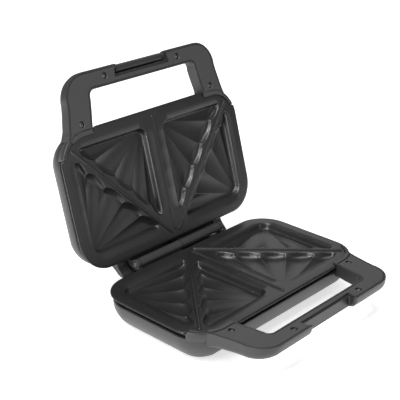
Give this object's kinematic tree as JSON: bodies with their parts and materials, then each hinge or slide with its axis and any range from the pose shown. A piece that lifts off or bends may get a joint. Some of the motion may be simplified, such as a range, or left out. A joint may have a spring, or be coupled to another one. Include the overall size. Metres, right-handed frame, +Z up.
{
  "type": "sandwich toaster",
  "caption": "Two-slice electric sandwich toaster: lower half and hinged lid with fluted triangular pockets, open loop handles and a front latch, shown open.",
  "frame": {"origin": "on the table, under the centre of the open machine's bounding box", "axes": "+X to the right along the hinge, -Y to the handles and +Y to the hinge, +Z up"},
  "size_m": [0.2388, 0.2714, 0.222],
  "materials": {
    "casing": "fine satin texture",
    "handle": "satin",
    "handle_cover": "fine matt texture",
    "plate": "dark non-stick coating, satin",
    "hinge_cast": "satin",
    "dark_screw": "blackened",
    "steel": "zinc plated",
    "shield": "bright sheet",
    "heater": "matt sheath",
    "thermostat": "ceramic body with a metal strap",
    "fuse": "metal can",
    "block": "moulded",
    "rubber_gland": "matt",
    "foot_rubber": "matt",
    "lead": "silicone sleeve",
    "red_lens": "clear tint",
    "green_lens": "clear tint"
  },
  "bodies": {
    "base": {"base_shell": "casing", "base_handle": "handle", "base_handle_cover": "handle_cover", "base_handle_screws": "dark_screw", "base_plate": "plate", "base_heater": "heater", "base_heater_clips": "steel", "base_heat_shield": "shield", "base_hinge_bracket": "hinge_cast", "base_hinge_screws": "steel", "hinge_pins": "steel", "thermostat": "thermostat", "thermal_fuse": "fuse", "terminal_block": "block", "cord_gland": "rubber_gland", "base_leads": "lead", "foot_pads": "foot_rubber", "base_bottom_screws": "dark_screw", "base_rear_cover": "casing"},
    "lid": {"lid_shell": "casing", "lid_handle": "handle", "lid_handle_cover": "handle_cover", "lid_handle_screws": "dark_screw", "lid_plate": "plate", "lid_shield_screws": "steel", "lid_heater": "heater", "lid_heater_clips": "steel", "lid_heat_shield": "shield", "lid_hinge_bracket": "hinge_cast", "lid_hinge_screws": "steel", "power_lamp_lens": "red_lens", "ready_lamp_lens": "green_lens", "lamp_holder": "block", "latch_pin": "steel"},
    "latch": {"latch_clip": "handle"}
  },
  "joints": [
    {"name": "lid_hinge", "type": "hinge", "parent": "base", "child": "lid", "pos_m": [0, 0.05559, 0.0382], "axis": [1, 0, 0], "range_deg": [0, 106]},
    {"name": "latch_pivot", "type": "hinge", "parent": "lid", "child": "latch", "pos_m": [0, 0.11373, 0.21482], "axis": [1, 0, 0], "range_deg": [0, 210]}
  ]
}
